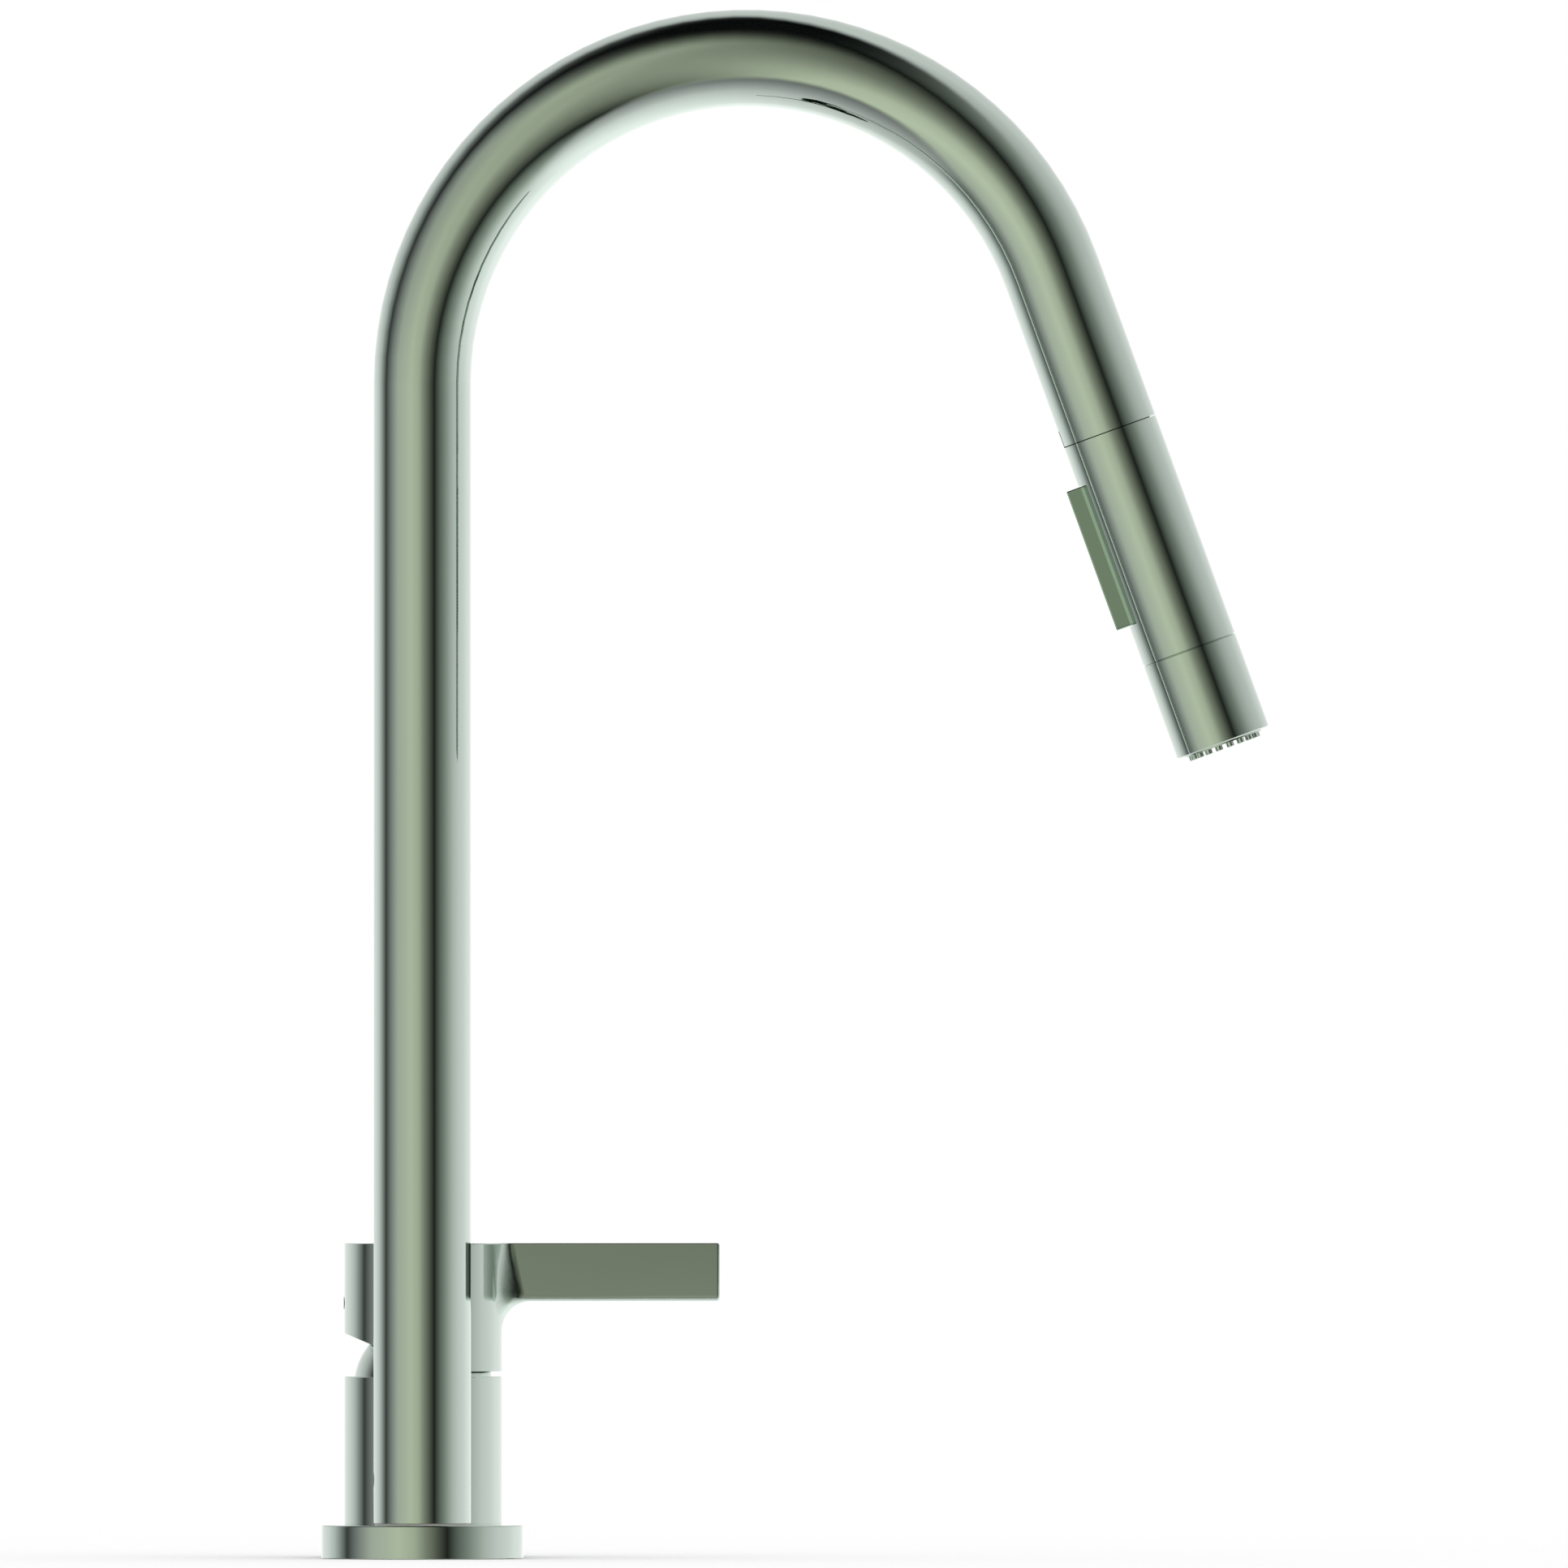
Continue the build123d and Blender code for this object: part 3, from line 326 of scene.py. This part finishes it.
# sizes of the patterns, as noise scales, ranges of the noise, shares of the colour and metres
patterns = {
    "wipeScale": 18.0,
    "wipeRange": (0.35, 0.7),
    "metalCloudScale": 7.0,
    "metalCloudPlaces": (0.35, 0.65),
    "metalCloudShade": 0.985,
    "lineScale": 260.0,
    "lineStretch": (1, 1, 14),
    "plasticCloudScale": 60.0,
    "plasticCloudPlaces": (0.3, 0.7),
    "plasticCloudShade": 0.9,
    "grainDepth": 0.0002,
    "braidTurn": math.radians(45),
    "braidPlaces": (0.0, 0.6),
    "braidStrength": 0.6,
    "braidDepth": 0.0006,
}


def metal(name, colour, smooth, rough, lines=0.0):
    # wiped metal: faint clouds in tone and gloss, and fine turned lines where it isn't polished
    material, tree, shader = newMaterial(name, Metallic=1.0)
    wipe = noise(tree, patterns["wipeScale"], detail=3.0)
    gloss = fade(tree, wipe, *patterns["wipeRange"], smooth, rough)
    tree.links.new(gloss, shader.inputs["Roughness"])
    cloud = noise(tree, patterns["metalCloudScale"], detail=2.0)
    tones = (shaded(colour, patterns["metalCloudShade"]), colour)
    tone = ramp(tree, cloud, list(zip(patterns["metalCloudPlaces"], tones)))
    tree.links.new(tone, shader.inputs["Base Color"])
    if lines:
        stretched = grainPlace(tree, patterns["lineStretch"])
        height = noise(tree, patterns["lineScale"], detail=3.0, place=stretched)
        bump(tree, shader, height, lines, patterns["grainDepth"])
    return material


def plastic(name, colour, rough, grain=900.0, strength=0.15):
    # moulded plastic, rubber or ceramic: a slightly cloudy tone and a fine moulded grain
    material, tree, shader = newMaterial(name, Roughness=rough)
    cloud = noise(tree, patterns["plasticCloudScale"])
    tones = (shaded(colour, patterns["plasticCloudShade"]), colour)
    tone = ramp(tree, cloud, list(zip(patterns["plasticCloudPlaces"], tones)))
    tree.links.new(tone, shader.inputs["Base Color"])
    bump(tree, shader, noise(tree, grain, detail=2.0), strength, patterns["grainDepth"])
    return material


def braid(name, dark, pale, rough, pitch):
    # nylon braid: rows of small round stitches, crossed at an angle to the leg
    material, tree, shader = newMaterial(name, Roughness=rough)
    alongLeg = grainPlace(tree, turned=(0, legTilt + patterns["braidTurn"], 0))
    parts = tree.nodes.new("ShaderNodeSeparateXYZ")
    tree.links.new(alongLeg, parts.inputs[0])
    stitch = None
    for side in parts.outputs:
        wave = mathNode(tree, "SINE", mathNode(tree, "MULTIPLY", side, 2 * math.pi / pitch))
        stitch = wave if stitch is None else mathNode(tree, "MULTIPLY", stitch, wave)
    height = mathNode(tree, "ABSOLUTE", stitch)
    tone = ramp(tree, height, list(zip(patterns["braidPlaces"], (dark, pale))))
    tree.links.new(tone, shader.inputs["Base Color"])
    bump(tree, shader, height, patterns["braidStrength"], patterns["braidDepth"])
    return material


materials = {
    "polished_metal": metal(
        "polishedMetal", colour=(0.515, 0.590, 0.540), smooth=0.035, rough=0.055,
    ),
    "button_metal": metal("buttonMetal", colour=(0.360, 0.475, 0.388), smooth=0.07, rough=0.10),
    "brass": metal(
        "machinedBrass", colour=(0.60, 0.44, 0.18), smooth=0.22, rough=0.32, lines=0.25,
    ),
    "steel": metal("plainSteel", colour=(0.45, 0.45, 0.43), smooth=0.20, rough=0.32, lines=0.2),
    "plug_grey": plastic("plugGrey", colour=(0.075, 0.095, 0.075), rough=0.45),
    "black_plastic": plastic("blackPlastic", colour=(0.012, 0.013, 0.013), rough=0.42),
    "white_plastic": plastic("acetal", colour=(0.68, 0.68, 0.64), rough=0.40),
    "grey_plastic": plastic("greyPlastic", colour=(0.12, 0.125, 0.13), rough=0.45),
    "ceramic": plastic(
        "lappedCeramic", colour=(0.80, 0.78, 0.70), rough=0.18, grain=1600.0, strength=0.05,
    ),
    "rubber": plastic("blackRubber", colour=(0.010, 0.010, 0.010), rough=0.55),
    "silicone": plastic("greySilicone", colour=(0.045, 0.050, 0.048), rough=0.50),
    "hose_braid": braid(
        "hoseBraid", dark=(0.020, 0.022, 0.022), pale=(0.16, 0.165, 0.165), rough=0.5,
        pitch=0.0021,
    ),
}

slotOf = {row["node"]: row["material_slot"] for row in frame["record"]["subparts"]}
for name, item in nodes.items():
    item.data.materials.clear()
    item.data.materials.append(materials[slotOf[name]])
print("materials set")


smoothAngle = math.radians(40)
weldDistance = 0.000002


def nothingSelected():
    if bpy.context.object and bpy.context.object.mode != "OBJECT":
        bpy.ops.object.mode_set(mode="OBJECT")
    bpy.ops.object.select_all(action="DESELECT")


def selectEdges(mesh, test):
    # in edit mode, selects only the edges whose span from end to end passes a test
    bpy.ops.object.mode_set(mode="OBJECT")
    for parts in (mesh.vertices, mesh.edges, mesh.polygons):
        for part in parts:
            part.select = False
    for edge in mesh.edges:
        first, last = (mesh.vertices[corner].co for corner in edge.vertices)
        edge.select = test(last - first)
    bpy.ops.object.mode_set(mode="EDIT")


def mergedCopy(nodeName, pieceName):
    # a welded mesh of its own with the shape and finish of a solid, which it then stands for
    nothingSelected()
    piece = bpy.data.objects.new(pieceName, nodes[nodeName].data.copy())
    bpy.context.scene.collection.objects.link(piece)
    bpy.context.view_layer.objects.active = piece
    piece.select_set(True)
    bpy.ops.object.mode_set(mode="EDIT")
    bpy.ops.mesh.select_all(action="SELECT")
    bpy.ops.mesh.remove_doubles(threshold=weldDistance)
    bpy.ops.object.mode_set(mode="OBJECT")
    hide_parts(nodeName)
    return piece


# the stretch of hose between the spout's mouth and the head
pullHose = {
    "radius": 0.0055,
    "wall": 0.0018,
    "start": 0.0015,
    "end": 0.0255,
    "sides": 40,
    "rows": 60,
    "alongLeast": 0.001,  # an edge that rises by more runs along the hose
}
hoseStart = legTop + legDown * pullHose["start"]
hoseEnd = legTop + legDown * pullHose["end"]
nothingSelected()
bpy.ops.mesh.primitive_cylinder_add(
    vertices=pullHose["sides"],
    radius=pullHose["radius"],
    depth=pullHose["end"] - pullHose["start"],
    end_fill_type="NOTHING",
    location=(hoseStart + hoseEnd) / 2,
    rotation=(0, -legTilt, 0),
)
hose = bpy.context.object
hose.name = "pullHose"
bpy.ops.object.mode_set(mode="EDIT")
bpy.ops.mesh.select_mode(type="EDGE")
selectEdges(hose.data, lambda span: abs(span.z) > pullHose["alongLeast"])
bpy.ops.mesh.subdivide(number_cuts=pullHose["rows"])
bpy.ops.object.mode_set(mode="OBJECT")
hoseWall = hose.modifiers.new("wall", "SOLIDIFY")
hoseWall.thickness = pullHose["wall"]
hoseWall.offset = -1.0
bpy.ops.object.modifier_apply(modifier="wall")
bpy.ops.object.transform_apply(location=True, rotation=True, scale=True)
bpy.ops.object.shade_smooth_by_angle(angle=smoothAngle)
hose.data.materials.append(materials["hose_braid"])
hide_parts("hose_lead")
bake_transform(hose)
print("pull hose made:", len(hose.data.polygons), "faces")


def easeStep(value, low, high):
    # a soft step from 0 to 1 while the value goes from low to high
    share = min(max((value - low) / (high - low), 0.0), 1.0)
    return share * share * (3 - 2 * share)


# the lever with upright blade sides, whose root leans outward toward the blade's lower edge
leverShape = {
    "valveY": 0.050,
    "middleZ": 0.0818,
    "sideLean": math.tan(math.radians(5)),  # of the solid's blade, taken out here
    "halfWidth": 0.00564,
    "halfWidthAt": 0.0265,
    "taper": 0.0451,
    "root": (0.0205, 0.0262),
    "rootFade": (0.029, 0.045),
    "shifts": (0.0016, -0.0010),  # of the root, at the blade's bottom and top
    "bladeZ": (0.0740, 0.0902),
    "underside": (0.066, 0.073),  # the heights over which the lean's change sets in
    "lowerEdge": (0.0734, 0.0760),  # and those for the root's shift
    "probe": 0.00001,  # a step to measure how the shape turns
}


def reshaped(point):
    # where a point of the solid's lever goes
    x, y, z = point
    onBlade = easeStep(x, *leverShape["root"])
    width = leverShape["halfWidth"] - (x - leverShape["halfWidthAt"]) * leverShape["taper"]
    lean = onBlade * easeStep(z, *leverShape["underside"]) * leverShape["sideLean"]
    across = (y - leverShape["valveY"]) * (1 - lean * (z - leverShape["middleZ"]) / width)
    atBottom, atTop = leverShape["shifts"]
    shift = atBottom + (atTop - atBottom) * easeStep(z, *leverShape["bladeZ"])
    shift *= onBlade * (1 - easeStep(x, *leverShape["rootFade"]))
    shift *= easeStep(z, *leverShape["lowerEdge"])
    across *= 1 - shift * leverShape["taper"] / width
    return Vector((x + shift, leverShape["valveY"] + across, z))


def reshapedNormal(point, normal):
    # the solid's own smooth shading, turned as the shape turns there
    probe = leverShape["probe"]
    slopes = [
        (reshaped(point + probe * axis) - reshaped(point - probe * axis)) / (2 * probe)
        for axis in Matrix.Identity(3)
    ]
    return (Matrix(slopes).inverted() @ normal).normalized()


lever = mergedCopy("lever_handle", "leverHandle")
solidLever = nodes["lever_handle"].data
faceFinder = KDTree(len(solidLever.polygons))
for face in solidLever.polygons:
    faceFinder.insert(face.center, face.index)
faceFinder.balance()
normals = [None] * len(lever.data.loops)
for face in lever.data.polygons:
    twin = solidLever.polygons[faceFinder.find(face.center)[1]]
    twinCorners = [
        (solidLever.vertices[solidLever.loops[corner].vertex_index].co, corner)
        for corner in twin.loop_indices
    ]
    for corner in face.loop_indices:
        place = lever.data.vertices[lever.data.loops[corner].vertex_index].co
        nearest = min(twinCorners, key=lambda other: (other[0] - place).length)[1]
        normals[corner] = reshapedNormal(place, solidLever.corner_normals[nearest].vector)
for point in lever.data.vertices:
    point.co = reshaped(point.co)
bpy.ops.object.shade_smooth()
lever.data.normals_split_custom_set(normals)
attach(lever, "lever")
print("lever made:", len(lever.data.polygons), "faces")

# the button's return spring: a copy of the solid's coil
coil = mergedCopy("button_spring", "returnSpring")
bpy.ops.object.shade_smooth_by_angle(angle=smoothAngle)
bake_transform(coil)
print("return spring made:", len(coil.data.polygons), "faces")

# the pale floor under the faucet, unseen by the metal, which reflects the studio's own floor
floorSheet = {
    "size": 60.0,
    "drop": 0.0002,
    "colour": (1.0, 1.0, 1.0),
    "roughness": 1.0,
    "gloss": 0.0,
}
nothingSelected()
bpy.ops.mesh.primitive_plane_add(size=floorSheet["size"], location=(0, 0, -floorSheet["drop"]))
floor = bpy.context.object
floor.name = "floor"
paper, tree, shader = newMaterial(
    "floorPaper",
    Base_Color=(*floorSheet["colour"], 1.0),
    Roughness=floorSheet["roughness"],
    Specular_IOR_Level=floorSheet["gloss"],
)
floorRays = tree.nodes.new("ShaderNodeLightPath")
through = tree.nodes.new("ShaderNodeBsdfTransparent")
floorPick = tree.nodes.new("ShaderNodeMixShader")
tree.links.new(floorRays.outputs["Is Glossy Ray"], floorPick.inputs["Fac"])
tree.links.new(shader.outputs[0], floorPick.inputs[1])
tree.links.new(through.outputs[0], floorPick.inputs[2])
tree.links.new(floorPick.outputs[0], tree.nodes["Material Output"].inputs["Surface"])
floor.data.materials.append(paper)
print("floor laid")
